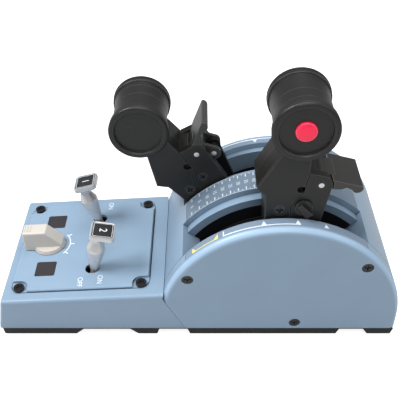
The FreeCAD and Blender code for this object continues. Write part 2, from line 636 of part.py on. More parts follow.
def lever_chassis():
    """Frame that carries the shaft: two middle plates, two outer plates, floor bars between them."""
    adds = []
    for x0, x1 in CHASSIS_PLATES:
        arch = outline((-7.0, SHELL_Z), (-7.0, PIVOT_Z), ((-0.75, PIVOT_Z + 6.25), (5.5, PIVOT_Z)), (5.5, SHELL_Z))
        adds += both_sides(prism(arch, x0, x1))
        adds += both_sides(box(x0, x1, -18.5, 18.5, SHELL_Z, SHELL_Z + 1.3))
    for y in (-18.5, 16.0):
        adds.append(box(-34.9, 34.9, y, y + 2.5, SHELL_Z, SHELL_Z + 3.0))
    frame = fuse(adds[0], *adds[1:])
    return cut(frame, x_rod(0, PIVOT_Z, SHAFT_R + FIT, -40, 40))


def pivot_shaft():
    rod = x_rod(0, PIVOT_Z, SHAFT_R, -SHAFT_HALF, SHAFT_HALF)
    return rod.makeChamfer(0.4, [e for e in rod.Edges if abs(abs(e.CenterOfMass.x) - SHAFT_HALF) < 0.01])


def friction_washers():
    made = []
    for x0, x1 in ((12.65, 14.35), (30.15, 31.05)):
        ring = cut(x_rod(0, PIVOT_Z, 6.4, x0, x1), x_rod(0, PIVOT_Z, SHAFT_R + FIT, x0 - 1, x1 + 1))
        made += both_sides(ring)
    return group(made)


def sensor_boards():
    board = box(7.4, 9.0, -6.5, 5.0, SHELL_Z + 3.2, PIVOT_Z + 4)
    board = cut(board, x_rod(0, PIVOT_Z, SHAFT_R + 0.6, 0, 20))
    return group(both_sides(board))


# ---------------------------------------------------------------- levers (right-hand pieces)
def uv(u, v):
    return (u, PIVOT_Z + v)


def over(u, height):
    """Place on the lever by its height above the drum's surface."""
    return (u, PIVOT_Z + BODY_R + height)


BLADE_BACK = [(-9.0, -16.0), (-9.4, 0.0), (-10.6, 16.0), (-2.0, 34.0), (-1.5, 47.0)]
BLADE_FRONT = [(8.0, 47.0), (7.6, 34.0), (4.0, 22.0), (0.0, 10.0), (0.0, -20.0)]
LUG = [(13.0, -24.0), (13.0, -40.0)]


def lever_core():
    """Flat arm from the hub to the grip, with a slotted lug that guides the link's foot."""
    blade = [over(*point) for point in BLADE_BACK + BLADE_FRONT + LUG]
    web = outline(uv(-HUB_R + 0.4, 0), *blade, uv(4.0, 20), uv(HUB_R - 0.4, 0))
    plate = prism(web, CORE_X0, CORE_X1)
    hub = x_rod(0, PIVOT_Z, HUB_R, HUB_X0, HUB_X1)
    head = x_rod(GRIP_U, PIVOT_Z + GRIP_V, GRIP_BORE_R - 0.1, CORE_X0, CORE_X1)
    core = fuse(plate, hub, head)
    gap = LINK_FOOT_R + 0.5
    low = link_foot_v(0) - 2.2
    high = link_foot_v(REVERSER_LIFT) + 2.2
    guide = box(CORE_X0 - 1, CORE_X1 + 1, LINK_FOOT_U - gap, LINK_FOOT_U + gap, PIVOT_Z + low, PIVOT_Z + high)
    cuts = [guide, x_rod(0, PIVOT_Z, BUSH_R + 0.02, HUB_X0 - 1, HUB_X1 + 1)]
    cuts.append(cut(x_rod(0, PIVOT_Z, 7.2, HUB_X0 - 1, HUB_X0 + 1.6), x_rod(0, PIVOT_Z, 6.0, HUB_X0 - 2, HUB_X0 + 2)))
    cuts.append(x_rod(GRIP_U, PIVOT_Z + GRIP_V, 7.5, CORE_X0 - 1, CORE_X1 + 1))
    cuts.append(x_rod(*over(*ARM_SCREW), THREAD_R, CORE_X0 - 1, CORE_X1 + 1))
    return cut(core, *cuts)


def hub_bush():
    return cut(x_rod(0, PIVOT_Z, BUSH_R, HUB_X0, HUB_X1), x_rod(0, PIVOT_Z, SHAFT_R + FIT, HUB_X0 - 1, HUB_X1 + 1))


def sensor_magnet():
    return cut(x_rod(0, PIVOT_Z, 7.15, HUB_X0 + 0.1, HUB_X0 + 1.55), x_rod(0, PIVOT_Z, 6.05, HUB_X0 - 1, HUB_X0 + 3))


# the curved seam between the arm shells and the clevis plates, from the arm's foot to its top
SEAM_POINTS = [(1.9, -14.0), (2.0, 7.5), (4.6, 12.0), (8.2, 16.5), (10.6, 30.6)]


def arm_outline():
    """Rear part of the arm, down to the foot of its tongue."""
    seam = [over(*point) for point in SEAM_POINTS]
    neck = [over(10.7, 39.4), over(10.3, 47.0), over(-3.1, 47.0)]
    return outline(over(-17.8, 20.5), over(-13.0, 14.8), over(-11.7, TONGUE_FOOT_R - BODY_R), *seam, *neck)


def arm_shell(x0, x1, tongue0, tongue1, core0, core1):
    wide = cut(prism(arm_outline(), x0, x1), x_rod(0, PIVOT_Z, ARM_FOOT_R, x0 - 1, x1 + 1))
    tongue = prism(arm_outline(), tongue0, tongue1).common(x_rod(0, PIVOT_Z, ARM_FOOT_R + 4, tongue0, tongue1))
    shell = fuse(wide, tongue)
    outer_x = x0 if abs(x0 - ARM_SPLIT_X) > 0.01 else x1
    shell = shell.makeChamfer(0.7, [e for e in shell.Edges if abs(e.CenterOfMass.x - outer_x) < 0.01 and rear_edge(e)])
    back = [over(u - BLADE_GAP, h) for u, h in [(BLADE_BACK[0][0], -30.0)] + BLADE_BACK]
    front = [over(u + BLADE_GAP, h) for u, h in BLADE_FRONT + [(BLADE_FRONT[-1][0], -30.0)]]
    cuts = [prism(outline(*back, *front), core0, core1)]
    cuts.append(spool(10.0, 0.1))
    cap_x = GRIP_X + GRIP_LENGTH / 2 - CAP_T
    cuts.append(x_rod(*uv(GRIP_U, GRIP_V), GRIP_R + 0.1, cap_x - 0.1, cap_x + 5))
    side = 1 if outer_x > ARM_SPLIT_X else -1
    y, z = over(*ARM_SCREW)
    cuts.append(x_rod(y, z, HEAD_R + 0.25, *sorted((outer_x - side * (HEAD_T + 0.3), outer_x + side))))
    cuts.append(x_rod(y, z, SCREW_HOLE_R, x0 - 1, x1 + 1))
    y, z = over(*PIP)
    cuts.append(x_rod(y, z, 2.4, *sorted((outer_x - side * 3.0, outer_x + side))))
    flange0 = outer_x - side * PLATE_T
    return fuse(cut(shell, *cuts), clevis_flange(*sorted((flange0, flange0 - side * FLANGE_T))))


def clevis_flange(x0, x1):
    """Lug of the arm shell behind the clevis plate, which is fastened to it."""
    y, z = over(*COVER_SCREW)
    tab = outline(over(0.6, -0.8), over(0.6, 6.0), over(11.6, 6.0), over(12.6, -0.8))
    if x0 > ARM_SPLIT_X:
        return cut(prism(tab, x0, x1), x_rod(y, z, LOCK_STEM_R + RUN_GAP, x0 - 1, x1 + 1))
    lug = fuse(prism(tab, x0, x1), x_rod(y, z, 3.1, x0, x1))
    return cut(lug, x_rod(y, z, THREAD_R, x0 - 1, x1 + 1))


def rear_edge(edge):
    """Edges along the arm's back, between its foot and its neck."""
    c = edge.CenterOfMass
    return c.y < -3.0 and PIVOT_Z + BODY_R < c.z < PIVOT_Z + BODY_R + 45


def clevis_plate(x0, x1):
    """One side plate of the reverser's clevis, round at the hinge."""
    hy, hz = uv(HINGE_U, HINGE_V)
    lean = radians(77.4)
    top = (hy + BOSS_R * cos(lean), hz + BOSS_R * sin(lean))
    run = (HINGE_U - 10.95) + BOSS_R * cos(lean)
    top_left = (hy - HINGE_U + 10.95, top[1] + run * 0.2235)
    edge = radians(-9.6)
    fwd = (hy + BOSS_R * cos(edge), hz + BOSS_R * sin(edge))
    nose = radians(33)
    crown = (hy + BOSS_R * cos(nose), hz + BOSS_R * sin(nose))
    seam = [over(u + PLATE_SEAM, h) for u, h in SEAM_POINTS[1:4]]
    wire = outline(top_left, top, (crown, fwd), over(19.2, -8.0), over(SEAM_POINTS[0][0] + PLATE_SEAM, -8.0), *seam)
    plate = cut(prism(wire, x0, x1), x_rod(0, PIVOT_Z, ARM_FOOT_R, x0 - 1, x1 + 1))
    return cut(plate, x_rod(hy, hz, PIN_R, x0 - 1, x1 + 1))


def hinge_brackets():
    inner = clevis_plate(ARM_X0, ARM_X0 + PLATE_T)
    outer = clevis_plate(ARM_X1 - PLATE_T, ARM_X1)
    y, z = over(*COVER_SCREW)
    outer = cut(outer, x_rod(y, z, LOCK_STEM_R + RUN_GAP, ARM_X1 - PLATE_T - 1, ARM_X1 + 1))
    inner = cut(inner, x_rod(y, z, SMALL_HEAD_R + 0.2, ARM_X0 - 1, ARM_X0 + HEAD_T + 0.2), x_rod(y, z, SCREW_HOLE_R, ARM_X0, ARM_X0 + 9))
    return group([inner, outer])


def arm_screws():
    y, z = over(*ARM_SCREW)
    outer = place(screw(12.0), V(0, 1, 0), 90, ARM_X1 - HEAD_T - 0.3, y, z)
    inner = place(screw(8.8), V(0, 1, 0), -90, ARM_X0 + HEAD_T + 0.3, y, z)
    y, z = over(*COVER_SCREW)
    small = place(screw(5.6, head_r=SMALL_HEAD_R), V(0, 1, 0), -90, ARM_X0 + HEAD_T + 0.2, y, z)
    return group([outer, inner, small])


def lock_knob():
    """Quarter-turn wedge knob on the arm's outer face."""
    y, z = over(*COVER_SCREW)
    disc = x_rod(y, z, LOCK_KNOB_R, ARM_X1 + 0.3, ARM_X1 + 1.5)
    stem = x_rod(y, z, LOCK_STEM_R, ARM_X1 - PLATE_T - FLANGE_T, ARM_X1 + 1)
    wedge = prism(outline((-4.2, -1.2), (5.2, -2.4), (5.2, 2.4), (-4.2, 1.2)), ARM_X1 + 1.2, ARM_X1 + 4.0)
    wedge.rotate(V(0, 0, 0), V(1, 0, 0), -52)
    wedge.translate(V(0, y, z))
    return fuse(disc, stem, wedge)


def spool(bore, grow):
    """Waisted body of revolution between the grip's caps."""
    half = GRIP_LENGTH / 2 - CAP_T
    rim = WAIST_END_R + grow
    start = V(GRIP_X - half, 0, bore)
    corner0 = V(GRIP_X - half, 0, rim)
    corner1 = V(GRIP_X + half, 0, rim)
    end = V(GRIP_X + half, 0, bore)
    edges = [Part.LineSegment(start, corner0).toShape(), Part.Arc(corner0, V(GRIP_X, 0, WAIST_R + grow), corner1).toShape(),
             Part.LineSegment(corner1, end).toShape(), Part.LineSegment(end, start).toShape()]
    solid = Part.Face(Part.Wire(edges)).revolve(V(0, 0, 0), V(1, 0, 0), 360)
    solid.translate(V(0, *uv(GRIP_U, GRIP_V)))
    return solid


def grip_waist():
    """Spool bored for the core's head and slotted for its neck."""
    gy, gz = uv(GRIP_U, GRIP_V)
    slot = box(CORE_X0 - 0.1, CORE_X1 + 0.1, gy - 7.2, gy + 3.0, gz - 20, gz - 9)
    return cut(spool(GRIP_BORE_R, 0), slot)


def grip_cap(outer):
    """End cap with a dished face; the outer one has the button's hole, the inner one a plug's."""
    x_face = GRIP_LENGTH / 2
    x_in = x_face - CAP_T
    floor = x_face - CAP_RECESS
    arc_mid = sin(radians(45))
    edges = []
    rim_in = x_in + 0.05
    groove = x_in + CAP_T * 0.5
    pts = [V(rim_in, 0, 0), V(rim_in, 0, GRIP_R - 0.7), V(rim_in + 0.5, 0, GRIP_R - 0.2), V(groove, 0, GRIP_R - 0.2)]
    pts += [V(groove, 0, GRIP_R - 0.5), V(groove + 0.3, 0, GRIP_R - 0.5), V(groove + 0.3, 0, GRIP_R), V(x_face - 1.6, 0, GRIP_R)]
    for a, b in zip(pts, pts[1:]):
        edges.append(Part.LineSegment(a, b).toShape())
    top = V(x_face, 0, GRIP_R - 1.6)
    edges.append(Part.Arc(pts[-1], V(x_face - 1.6 + 1.6 * arc_mid, 0, GRIP_R - 1.6 + 1.6 * arc_mid), top).toShape())
    pts = [top, V(x_face, 0, CAP_RECESS_R + 0.6), V(x_face - 0.6, 0, CAP_RECESS_R), V(floor, 0, CAP_RECESS_R - 0.3), V(floor, 0, 0)]
    pts.append(V(x_in + 0.05, 0, 0))
    for a, b in zip(pts, pts[1:]):
        edges.append(Part.LineSegment(a, b).toShape())
    cap = Part.Face(Part.Wire(edges)).revolve(V(0, 0, 0), V(1, 0, 0), 360)
    pocket = x_rod(0, 0, 11.5, x_in - 1, floor - CAP_FACE_T)
    cap = cut(cap, pocket)
    if outer:
        cap = cut(cap, x_rod(0, 0, BUTTON_R + RUN_GAP, x_in - 1, x_face + 1))
    else:
        cap = cut(cap, x_rod(0, PLUG_OFFSET, PLUG_R, floor - 0.8, x_face + 1))
    return cap


def placed_cap(outer):
    cap = grip_cap(outer)
    if not outer:
        cap = cap.mirror(V(0, 0, 0), V(1, 0, 0))
        plug = x_rod(0, PLUG_OFFSET, PLUG_R - 0.15, -GRIP_LENGTH / 2 + CAP_RECESS - 0.05, -GRIP_LENGTH / 2 + CAP_RECESS + 0.8)
        cap = group([cap, plug])
    return place(cap, V(1, 0, 0), 0, GRIP_X, *uv(GRIP_U, GRIP_V))


def grip_button():
    face = GRIP_X + GRIP_LENGTH / 2 - CAP_RECESS
    y, z = uv(GRIP_U, GRIP_V)
    back = face - CAP_FACE_T - RUN_GAP
    body = x_rod(y, z, BUTTON_R, back - 1.0, face + BUTTON_PROUD)
    body = round_edges(body, 0.9, lambda e, c: c.x > face + BUTTON_PROUD - 0.01 and e.Length > 1)
    flange = x_rod(y, z, BUTTON_R + 1.3, back - 1.2, back)
    return fuse(body, flange)


# ---------------------------------------------------------------- reverser and link
def turned(point, angle):
    a = radians(angle)
    return (point[0] * cos(a) - point[1] * sin(a), point[0] * sin(a) + point[1] * cos(a))


def link_pin_uv(lift):
    du, dv = turned(LINK_PIN, lift)
    return HINGE_U + du, HINGE_V + dv


def link_lean(lift):
    u, v = link_pin_uv(lift)
    return degrees(asin((u - LINK_FOOT_U) / LINK_LENGTH))


def link_foot_v(lift):
    u, v = link_pin_uv(lift)
    return v - LINK_LENGTH * cos(radians(link_lean(lift)))


def reverser():
    """Finger lever, down: slab with a scalloped underside, neck, barrel and two ears."""
    def at(u, v):
        return uv(HINGE_U + u, HINGE_V + v)

    def on_root(angle):
        return at(ROOT_R * cos(radians(angle)), ROOT_R * sin(radians(angle)))

    slab_wire = outline(on_root(31), at(23.5, -1.1), at(23.3, -3.1), (at(20.9, -5.0), at(18.2, -4.5)),
                        (at(16.0, -2.4), at(13.6, -1.6)), (at(12.4, -2.3), at(11.0, -2.7)), on_root(-23), (on_root(4), on_root(31)))
    slab = prism(slab_wire, ARM_X0 - BLADE_OVERHANG, ARM_X1 + BLADE_OVERHANG)
    slab = round_edges(slab, 0.7, lambda e, c: c.y > uv(HINGE_U + 23.1, 0)[0] and c.z > uv(0, HINGE_V - 2.0)[1] and abs(c.x - ARM_MID_X) < 1)
    x0 = ARM_X0 + PLATE_T + 0.4
    x1 = ARM_X1 - PLATE_T - 0.4
    neck = prism(outline(at(1.0, BARREL_R), at(8.0, 3.24), at(8.0, -2.7), at(0, -BARREL_R + 0.3)), x0, x1)
    barrel = x_rod(*at(0, 0), BARREL_R, x0, x1)
    adds = [neck, barrel]
    p = at(*LINK_PIN)
    for e0, e1 in ((x0, x0 + EAR_T), (x1 - EAR_T, x1)):
        adds.append(x_rod(*p, EAR_R, e0, e1))
        adds.append(prism(outline(at(-4.6, -2.4), at(LINK_PIN[0] - EAR_R, LINK_PIN[1]), at(LINK_PIN[0] + EAR_R, LINK_PIN[1]),
                                  at(4.6, -2.4)), e0, e1))
    body = fuse(slab, *adds)
    cuts = [x_rod(*at(0, 0), PIN_R + FIT, x0 - 1, x1 + 1)]
    cuts.append(x_rod(*p, LINK_PIN_R, x0 - 1, x1 + 1))
    return cut(body, *cuts)


def reverser_pins():
    """Link pin with its spacer, from the inner ear to the link."""
    x0 = ARM_X0 + PLATE_T + 0.3
    x1 = ARM_X1 - PLATE_T - 0.3
    p = uv(HINGE_U + LINK_PIN[0], HINGE_V + LINK_PIN[1])
    spacer = x_rod(*p, SPACER_R, x0 + EAR_T + 0.2, LINK_X0 - 0.3)
    return fuse(x_rod(*p, LINK_PIN_R, x0, x1), spacer)


def link_rod():
    """Flat rod from the reverser's ear down to the guide slot, with its foot pin."""
    pu, pv = link_pin_uv(0)
    fv = link_foot_v(0)
    top = uv(pu, pv)
    foot = uv(LINK_FOOT_U, fv)
    bar = box(LINK_X0, LINK_X1, -LINK_HALF_W, LINK_HALF_W, 0, LINK_LENGTH)
    rib = box(LINK_X1 - 0.1, LINK_X1 + 0.4, -0.8, 0.8, 5.0, LINK_LENGTH - 6.0)
    bar = fuse(bar, rib)
    bar.rotate(V(0, 0, 0), V(1, 0, 0), -link_lean(0))
    bar.translate(V(0, *foot))
    rod = fuse(bar, x_rod(*top, EAR_R, LINK_X0, LINK_X1), x_rod(*foot, LINK_HALF_W, LINK_X0, LINK_X1))
    rod = fuse(rod, x_rod(*foot, LINK_FOOT_R, CORE_X0 + 0.3, LINK_X0 + 0.5))
    return cut(rod, x_rod(*top, LINK_PIN_R + FIT, LINK_X0 - 1, LINK_X1 + 2))


def hinge_pin():
    y, z = uv(HINGE_U, HINGE_V)
    return x_rod(y, z, PIN_R, ARM_X0 - 0.15, ARM_X1 + 0.15)


def lever_pieces():
    split0 = CORE_X0 - 0.1
    split1 = CORE_X1 + 0.1
    return {
        "lever_core": lever_core(),
        "hub_bush": hub_bush(),
        "sensor_magnet": sensor_magnet(),
        "arm_shell_outer": arm_shell(ARM_SPLIT_X, ARM_X1, ARM_SPLIT_X, TONGUE_X1, split0, split1),
        "arm_shell_inner": arm_shell(ARM_X0, ARM_SPLIT_X, TONGUE_X0, ARM_SPLIT_X, split0, split1),
        "hinge_brackets": hinge_brackets(),
        "arm_screws": arm_screws(),
        "hinge_pin": hinge_pin(),
        "lock_knob": lock_knob(),
        "grip_waist": grip_waist(),
        "grip_cap_outer": placed_cap(True),
        "grip_cap_inner": placed_cap(False),
        "grip_button": grip_button(),
    }


def reverser_pieces():
    return {"reverser": reverser(), "reverser_pins": reverser_pins()}


def turn_about(shape, u, v, angle):
    moved = shape.copy()
    moved.rotate(V(0, u, PIVOT_Z + v), V(1, 0, 0), angle)
    return moved


def build_levers():
    for side in ("right", "left"):
        lift = 0 if side == "right" else REVERSER_LIFT
        pieces = lever_pieces()
        for name, shape in reverser_pieces().items():
            pieces[name] = turn_about(shape, HINGE_U, HINGE_V, lift)
        link = turn_about(link_rod(), HINGE_U, HINGE_V, lift)
        if lift:
            link = turn_about(link, *link_pin_uv(lift), link_lean(0) - link_lean(lift) - lift)
        pieces["link_rod"] = link
        for name, shape in pieces.items():
            if side == "left":
                shape = shape.mirror(V(0, 0, 0), V(1, 0, 0))
                shape.rotate(V(0, 0, PIVOT_Z), V(1, 0, 0), LEFT_LEVER_ANGLE)
            nodes[name + "_" + side] = shape


def build_all():
    nodes["base_plate"] = base_plate()
    nodes["foot_pads"] = foot_pads()
    nodes["base_screws"] = base_screws()
    nodes["main_housing"] = main_housing()
    nodes["cheek_right"], nodes["cheek_left"] = both_sides(cheek())
    nodes["cheek_screws"] = cheek_screws()
    nodes["scale_strip_mid"], nodes["scale_strips_side"] = scale_strips()
    nodes["slot_trough_right"], nodes["slot_trough_left"] = both_sides(slot_trough())
    nodes["panel_housing"] = panel_housing()
    nodes["panel_plate"] = panel_plate()
    nodes["panel_screws"] = panel_screws()
    nodes["indicator_windows"] = indicator_windows()
    nodes["panel_board"] = panel_board()
    nodes["toggle_bodies"] = toggle_bodies()
    nodes["toggle_one"] = toggle(-1, TOGGLE_THROW)
    nodes["toggle_two"] = toggle(1, -TOGGLE_THROW)
    nodes["selector_body"] = selector_body()
    nodes["mode_knob"] = mode_knob()
    nodes["main_board"] = main_board()
    nodes["usb_socket"] = usb_socket()
    nodes["lever_chassis"] = lever_chassis()
    nodes["pivot_shaft"] = pivot_shaft()
    nodes["friction_washers"] = friction_washers()
    nodes["sensor_boards"] = sensor_boards()
    build_levers()


os.makedirs("parts", exist_ok=True)
build_all()
for name, shape in nodes.items():
    shape.translate(V(0, -(PANEL_FRONT_Y + BODY_R) / 2, 0))
    shape.exportStep("parts/" + name + ".step")
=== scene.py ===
from math import asin, cos, pi, radians, sin

import bmesh
import bpy
from mathutils import Matrix, Vector

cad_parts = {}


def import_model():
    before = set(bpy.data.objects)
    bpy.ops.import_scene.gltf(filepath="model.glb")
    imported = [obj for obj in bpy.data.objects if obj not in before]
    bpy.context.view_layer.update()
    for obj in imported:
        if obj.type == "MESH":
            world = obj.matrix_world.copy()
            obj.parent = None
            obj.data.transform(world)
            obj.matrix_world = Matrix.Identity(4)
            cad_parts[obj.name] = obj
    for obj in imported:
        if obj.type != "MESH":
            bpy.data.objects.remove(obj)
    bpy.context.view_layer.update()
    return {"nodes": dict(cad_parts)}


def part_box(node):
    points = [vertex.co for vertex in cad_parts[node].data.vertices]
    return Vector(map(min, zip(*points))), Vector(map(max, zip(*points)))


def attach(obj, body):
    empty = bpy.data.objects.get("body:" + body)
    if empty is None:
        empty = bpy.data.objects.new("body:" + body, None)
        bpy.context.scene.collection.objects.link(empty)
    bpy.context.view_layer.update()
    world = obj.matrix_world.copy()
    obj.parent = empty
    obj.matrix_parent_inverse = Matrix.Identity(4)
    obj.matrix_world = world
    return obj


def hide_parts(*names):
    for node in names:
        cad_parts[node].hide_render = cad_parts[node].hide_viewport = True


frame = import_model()

# Throttle quadrant, dressed.  Metres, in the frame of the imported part: X across (+X to the
# pilot's right), Y forward, Z up, origin on the desk in the middle of the footprint.
# Lengths in the code are in millimetres and become metres in the mappings below.

MM = 0.001
PIVOT_Y = 50.75             # lever axis
PIVOT_Z = 15.0
DRUM_R = 74.0
CHEEK_X = 38.2              # slot edge of the side strips
SWITCH_TILT = radians(3.537)   # slope of the switch plate
SWITCH_Y = -72.45           # middle of the switch plate, under its surface
SWITCH_Z = 32.967
SWITCH_PROUD = 1.8
INK = 0.06                  # printed marks stand this far above their surface
INK_SINK = 0.03             # and start this far below it
OPEN_SHARE = (0.2, 0.75)    # share of open sky at the bottom of a recess, and on an open face; painted recess shade fades out between them
EDGE_SHARE = (0.998, 0.95)  # cosine between true and softened normal on a face, and on an edge; the painted edge colour fades in between them
HOLLOW_REACH = 0.03         # metres: how far a broad hollow looks for its walls when its shade is painted
SEAM_SHADE = 0.12           # share of the colour that is left deep in a seam, as painted shade
EDGE_HIGHLIGHT_LIFT = 1.3             # painted edge highlights are this much paler than their faces
nodes = frame["nodes"]


# ------------------------------------------------------------------ materials
def srgb(r, g, b):
    """Linear colour from 8-bit sRGB values."""
    def one(value):
        v = value / 255.0
        return v / 12.92 if v <= 0.04045 else ((v + 0.055) / 1.055) ** 2.4
    return (one(r), one(g), one(b), 1.0)


class Shader:
    """Small helper that builds one Principled material from procedural nodes."""

    def __init__(self, name, roughness=0.5, metallic=0.0, specular=0.5):
        self.mat = bpy.data.materials.new(name)
        self.mat.use_nodes = True
        self.tree = self.mat.node_tree
        self.bsdf = self.tree.nodes["Principled BSDF"]
        self.bsdf.inputs["Roughness"].default_value = roughness
        self.bsdf.inputs["Metallic"].default_value = metallic
        self.bsdf.inputs["Specular IOR Level"].default_value = specular
        self.coords = self.node("ShaderNodeTexCoord").outputs["Object"]

    def node(self, kind, **values):
        made = self.tree.nodes.new(kind)
        for key, value in values.items():
            if hasattr(made, key):
                setattr(made, key, value)
            else:
                made.inputs[key.replace("_", " ")].default_value = value
        return made

    def link(self, a, b):
        self.tree.links.new(a, b)

    def noise(self, scale, detail=4.0, rough=0.55):
        made = self.node("ShaderNodeTexNoise", Scale=scale, Detail=detail, Roughness=rough)
        self.link(self.coords, made.inputs["Vector"])
        return made.outputs["Fac"]

    def ramp(self, fac, stops):
        made = self.node("ShaderNodeValToRGB")
        band = made.color_ramp
        while len(band.elements) < len(stops):
            band.elements.new(0.5)
        for element, (place, colour) in zip(band.elements, stops):
            element.position = place
            element.color = colour
        self.link(fac, made.inputs["Fac"])
        return made.outputs["Color"]

    def map(self, fac, low, high):
        made = self.node("ShaderNodeMapRange")
        made.inputs["To Min"].default_value = low
        made.inputs["To Max"].default_value = high
        self.link(fac, made.inputs["Value"])
        return made.outputs["Result"]

    def bump(self, fac, strength, distance, normal=None):
        made = self.node("ShaderNodeBump", Strength=strength, Distance=distance)
        self.link(fac, made.inputs["Height"])
        if normal is not None:
            self.link(normal, made.inputs["Normal"])
        return made.outputs["Normal"]

    def math(self, operation, a, b):
        made = self.node("ShaderNodeMath")
        made.operation = operation
        for place, value in enumerate((a, b)):
            if isinstance(value, float):
                made.inputs[place].default_value = value
            else:
                self.link(value, made.inputs[place])
        return made.outputs["Value"]

    def mixed(self, fac, a, b):
        made = self.node("ShaderNodeMix")
        made.data_type = "RGBA"
        self.link(fac, made.inputs["Factor"])
        colours = [i for i in made.inputs if i.type == "RGBA"]
        for socket, value in zip(colours, (a, b)):
            if isinstance(value, tuple):
                socket.default_value = value
            else:
                self.link(value, socket)
        return [o for o in made.outputs if o.type == "RGBA"][0]

    def recess(self, reach):
        """0 deep in seams and recesses, 1 on open faces; reach in metres. Mask for painted shade."""
        made = self.node("ShaderNodeAmbientOcclusion")
        made.samples = 6
        made.inputs["Distance"].default_value = reach
        return self.between(made.outputs["AO"], *OPEN_SHARE)

    def edges(self, radius):
        """1 on the bodies' outer edges, 0 on their faces. Mask for painted edge highlights and rings."""
        soft = self.node("ShaderNodeBevel")
        soft.samples = 4
        soft.inputs["Radius"].default_value = radius
        true = self.node("ShaderNodeNewGeometry")
        dot = self.node("ShaderNodeVectorMath")
        dot.operation = "DOT_PRODUCT"
        self.link(soft.outputs["Normal"], dot.inputs[0])
        self.link(true.outputs["Normal"], dot.inputs[1])
        return self.between(dot.outputs["Value"], *EDGE_SHARE)

    def facing_raw(self, axis):
        """How far the surface looks along a world axis."""
        true = self.node("ShaderNodeNewGeometry")
        split = self.node("ShaderNodeSeparateXYZ")
        self.link(true.outputs["Normal"], split.inputs["Vector"])
        return split.outputs[axis]

    def between(self, value, low, high):
        """0 at low, 1 at high, clamped."""
        made = self.node("ShaderNodeMapRange")
        made.inputs["From Min"].default_value = low
        made.inputs["From Max"].default_value = high
        self.link(value, made.inputs["Value"])
        return made.outputs["Result"]

    def facing(self, axis, low, high):
        return self.between(self.facing_raw(axis), low, high)

    def colour(self, socket):
        self.link(socket, self.bsdf.inputs["Base Color"])

    def rough(self, socket):
        self.link(socket, self.bsdf.inputs["Roughness"])

    def normal(self, socket):
        self.link(socket, self.bsdf.inputs["Normal"])


def scaled(colour, k):
    return (colour[0] * k, colour[1] * k, colour[2] * k, 1.0)


def grained(name, colour, roughness, grain=1800.0, grain_depth=0.00003, blotch=45.0, spread=0.05, strength=0.35,
            specular=0.5, edge=None, edge_reach=0.0004, seam=None, hollow_shade=None, shade_y=None, fillet_highlight=None):
    """Moulded or painted skin: slow colour drift, fine grain in gloss and relief.

    edge: colour of the painted highlight on outer edges (a painted shadow ring where it is dark), found
    within edge_reach; seam: reach of the painted shade in seams; hollow_shade: share of the colour left as
    painted shade in broad hollows; shade_y: colour of the painted shade on faces that look forward;
    fillet_highlight: colour of the painted highlight on the rounding between a side face and the upper faces.
    """
    sh = Shader(name, roughness=roughness, specular=specular)
    drift = sh.noise(blotch, 3.0)
    skin = sh.ramp(drift, [(0.3, scaled(colour, 1 - spread)), (0.7, scaled(colour, 1 + spread))])
    # painted highlight on outer edges and chamfers; where the edge colour is dark, a painted shadow ring
    if edge:
        skin = sh.mixed(sh.edges(edge_reach), skin, edge)
    # painted highlight on the rounding between a side face and the upper faces
    if fillet_highlight:
        side_on = sh.math("ABSOLUTE", sh.facing_raw("X"), 0.0)
        band = sh.math("MULTIPLY", sh.between(side_on, 0.04, 0.3), sh.between(side_on, 0.97, 0.8))
        skin = sh.mixed(sh.math("MULTIPLY", band, sh.facing("Z", -0.2, 0.2)), skin, fillet_highlight)
    # painted shade on faces that look forward, such as the plate's side wall
    if shade_y:
        skin = sh.mixed(sh.facing("Y", 0.5, 0.8), skin, shade_y)
    # painted shade in broad hollows and concave corners
    if hollow_shade:
        skin = sh.mixed(sh.recess(HOLLOW_REACH), scaled(colour, hollow_shade), skin)
    # painted shade in seams, gaps and recesses
    if seam:
        skin = sh.mixed(sh.recess(seam), scaled(colour, SEAM_SHADE), skin)
    sh.colour(skin)
    fine = sh.noise(grain, 5.0, 0.6)
    sh.rough(sh.map(fine, roughness - 0.06, roughness + 0.08))
    sh.normal(sh.bump(fine, strength, grain_depth))
    return sh.mat


def brushed(name, colour, roughness, stretch=(1.0, 1.0, 1.0), scale=900.0, metallic=1.0):
    """Turned or drawn metal with fine lines."""
    sh = Shader(name, roughness=roughness, metallic=metallic)
    mapping = sh.node("ShaderNodeMapping")
    mapping.inputs["Scale"].default_value = stretch
    sh.link(sh.coords, mapping.inputs["Vector"])
    lines = sh.node("ShaderNodeTexNoise", Scale=scale, Detail=3.0)
    sh.link(mapping.outputs["Vector"], lines.inputs["Vector"])
    sh.colour(sh.ramp(lines.outputs["Fac"], [(0.3, scaled(colour, 0.92)), (0.7, scaled(colour, 1.06))]))
    sh.rough(sh.map(lines.outputs["Fac"], roughness - 0.05, roughness + 0.1))
    sh.normal(sh.bump(lines.outputs["Fac"], 0.2, 0.00002))
    return sh.mat


